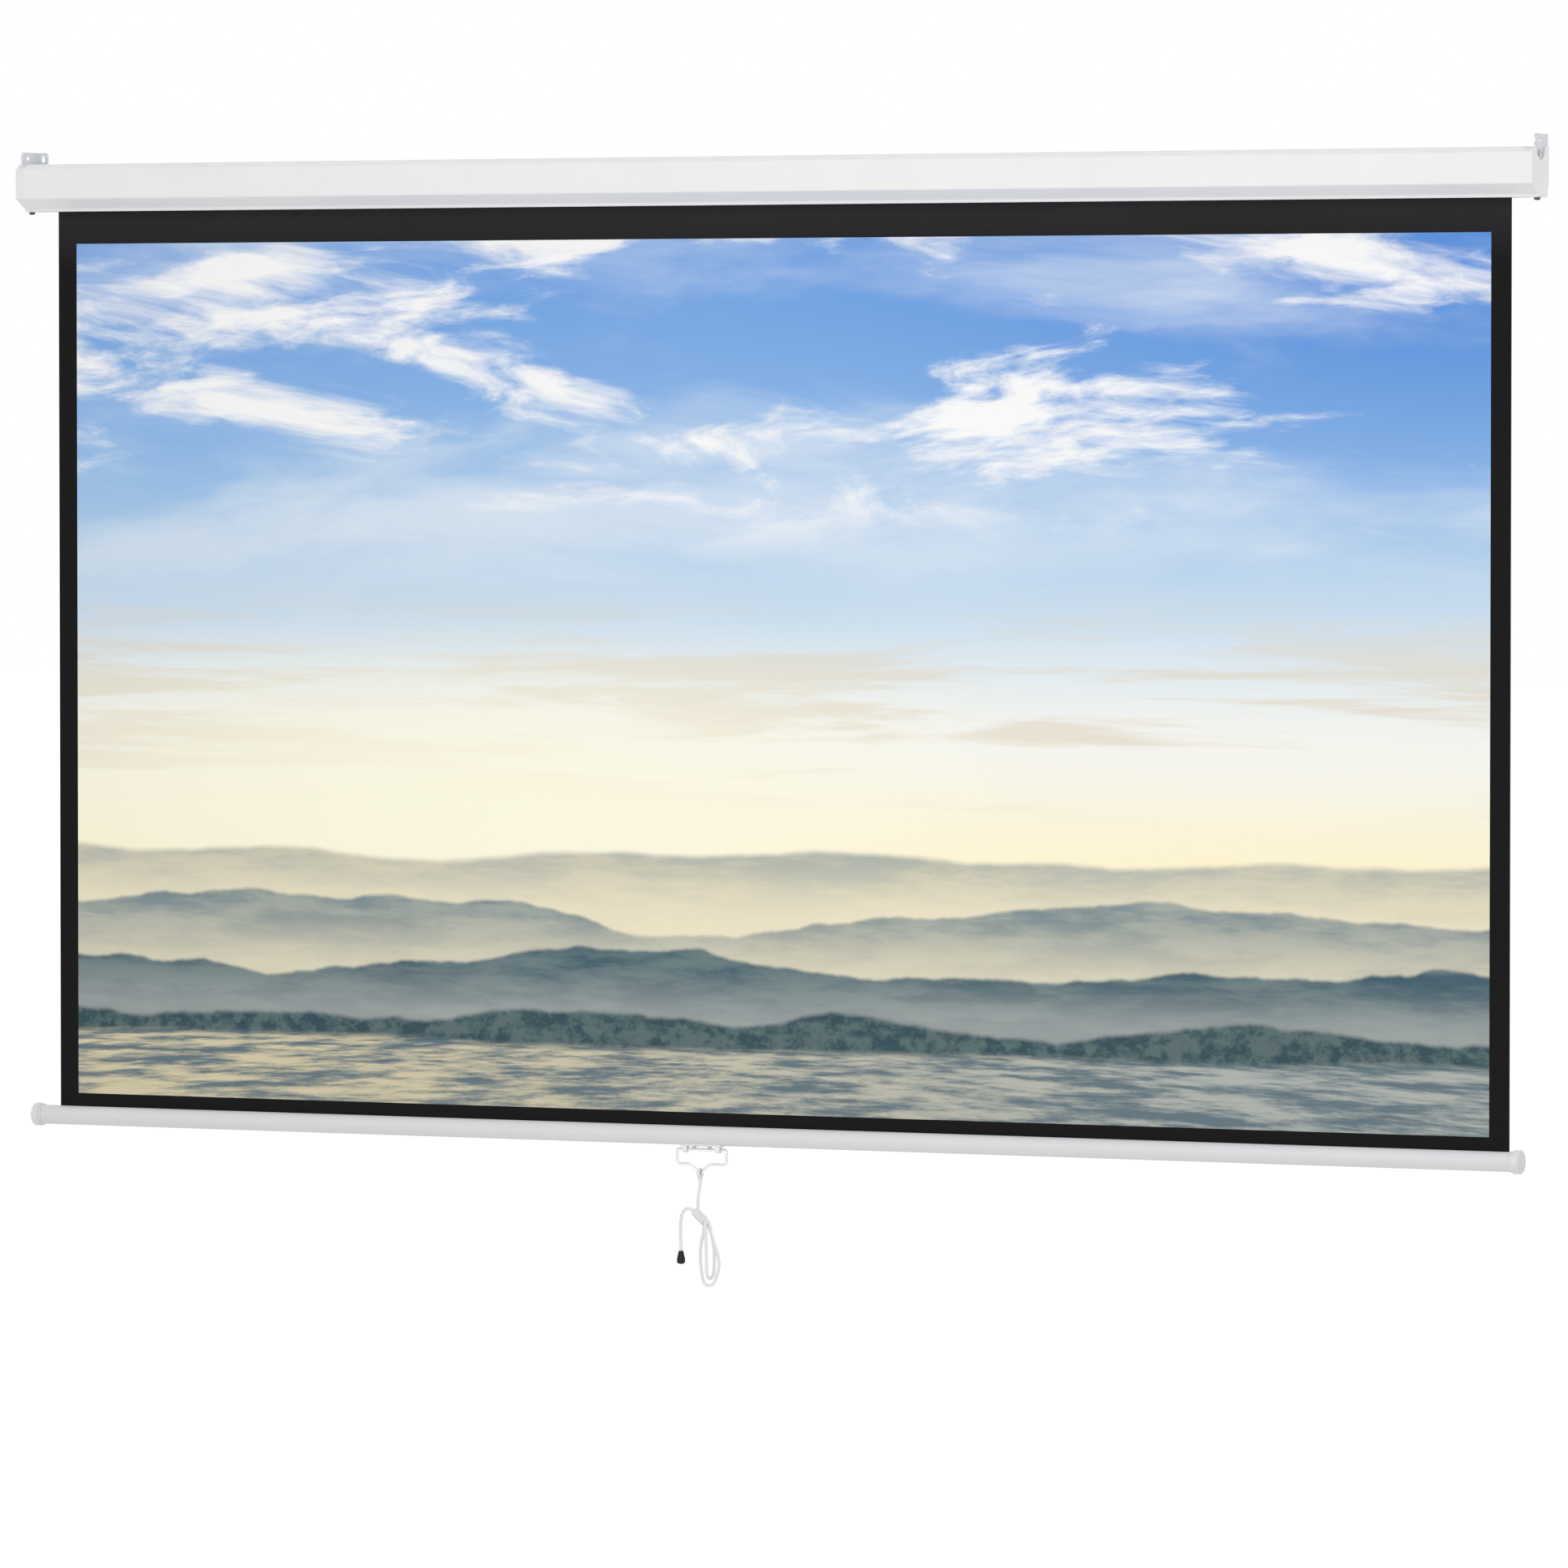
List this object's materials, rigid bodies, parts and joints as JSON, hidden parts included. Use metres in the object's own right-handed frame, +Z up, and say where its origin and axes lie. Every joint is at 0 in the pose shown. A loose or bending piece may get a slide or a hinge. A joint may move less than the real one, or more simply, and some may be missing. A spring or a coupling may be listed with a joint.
{
  "type": "pull down projector screen",
  "caption": "Wide pull down projector screen: steel casing with a spring roller, black bordered sheet, round weight bar, wire pull handle and a gathered cord.",
  "frame": {"origin": "middle of the casing's flat back, on the plane of the wall that it hangs on", "axes": "+X to the viewer's right along the casing, +Y into the wall, +Z up"},
  "size_m": [2.3716, 0.065, 1.6278],
  "materials": {
    "powder_coat": "white powder coat, semi-gloss",
    "cap_plastic": "white moulded plastic, fine grain",
    "zinc_plate": "zinc plated sheet steel",
    "screw_steel": "zinc plated steel",
    "dark_screw": "blackened steel",
    "spring_steel": "oiled spring wire",
    "nylon": "natural nylon",
    "black_cloth": "matt black coated cloth",
    "picture_coating": null,
    "handle_wire": "bright plated wire",
    "white_cord": "braided white cord",
    "tip_plastic": "black moulded plastic"
  },
  "bodies": {
    "casing": {"casing_shell": "powder_coat", "left_end_cap": "cap_plastic", "right_end_cap": "cap_plastic", "left_hanger_bracket": "zinc_plate", "right_hanger_bracket": "zinc_plate", "left_hanger_screw": "screw_steel", "right_hanger_screw": "screw_steel", "left_foot_screw": "dark_screw", "right_foot_screw": "dark_screw", "left_upper_bracket_screw": "screw_steel", "left_lower_bracket_screw": "screw_steel", "right_upper_bracket_screw": "screw_steel", "right_lower_bracket_screw": "screw_steel", "spindle_bracket": "zinc_plate", "spindle": "screw_steel", "ratchet_wheel": "screw_steel", "torsion_spring": "spring_steel", "spring_hub": "nylon", "gudgeon_bracket": "zinc_plate", "gudgeon_bush": "nylon", "screen_fabric": "black_cloth", "viewing_surface": "picture_coating"},
    "roller": {"roller_tube": "zinc_plate", "fabric_winding": "black_cloth", "ratchet_plug": "nylon", "rod_end_bush": "nylon", "gudgeon_plug": "nylon"},
    "pawl_upper": {"upper_pawl": "screw_steel"},
    "pawl_lower": {"lower_pawl": "screw_steel"},
    "weight_bar": {"weight_bar_tube": "powder_coat", "hem_strip": "black_cloth", "hem_rod": "screw_steel", "left_bar_cap": "cap_plastic", "right_bar_cap": "cap_plastic", "handle_clip": "cap_plastic", "left_clip_rivet": "screw_steel", "right_clip_rivet": "screw_steel"},
    "handle": {"pull_handle": "handle_wire"},
    "cord": {"cord_hitch": "white_cord", "pull_cord": "white_cord", "cord_wrap": "white_cord", "cord_outer_loop": "white_cord", "cord_inner_loop": "white_cord", "cord_tail": "white_cord", "cord_tip": "tip_plastic"}
  },
  "joints": [
    {"name": "screen_pull", "type": "slide", "parent": "casing", "child": "weight_bar", "axis": [0, 0, 1], "range_m": [0, 1.303], "deforming": ["screen_fabric", "viewing_surface"]},
    {"name": "roller_spin", "type": "hinge", "parent": "casing", "child": "roller", "pos_m": [0, -0.03778, 0.002], "axis": [1, 0, 0], "range_deg": [0, 3600]},
    {"name": "upper_pawl_swing", "type": "hinge", "parent": "roller", "child": "pawl_upper", "pos_m": [1.1448, -0.0316, 0.00935], "axis": [-1, 0, 0], "range_deg": [0, 12]},
    {"name": "lower_pawl_swing", "type": "hinge", "parent": "roller", "child": "pawl_lower", "pos_m": [1.1448, -0.04395, -0.00535], "axis": [-1, 0, 0], "range_deg": [0, 12]},
    {"name": "handle_swing", "type": "hinge", "parent": "weight_bar", "child": "handle", "pos_m": [-0.0935, -0.019, -1.3797], "axis": [1, 0, 0], "range_deg": [-80, 25]},
    {"name": "cord_hang", "type": "hinge", "parent": "handle", "child": "cord", "pos_m": [-0.0965, -0.019, -1.41237], "axis": [1, 0, 0], "range_deg": [-25, 80]}
  ],
  "couplings": [
    {"joint": "roller_spin", "follows": "screen_pull", "rad_per_m": 48},
    {"joint": "cord_hang", "follows": "handle_swing", "ratio": -1}
  ]
}
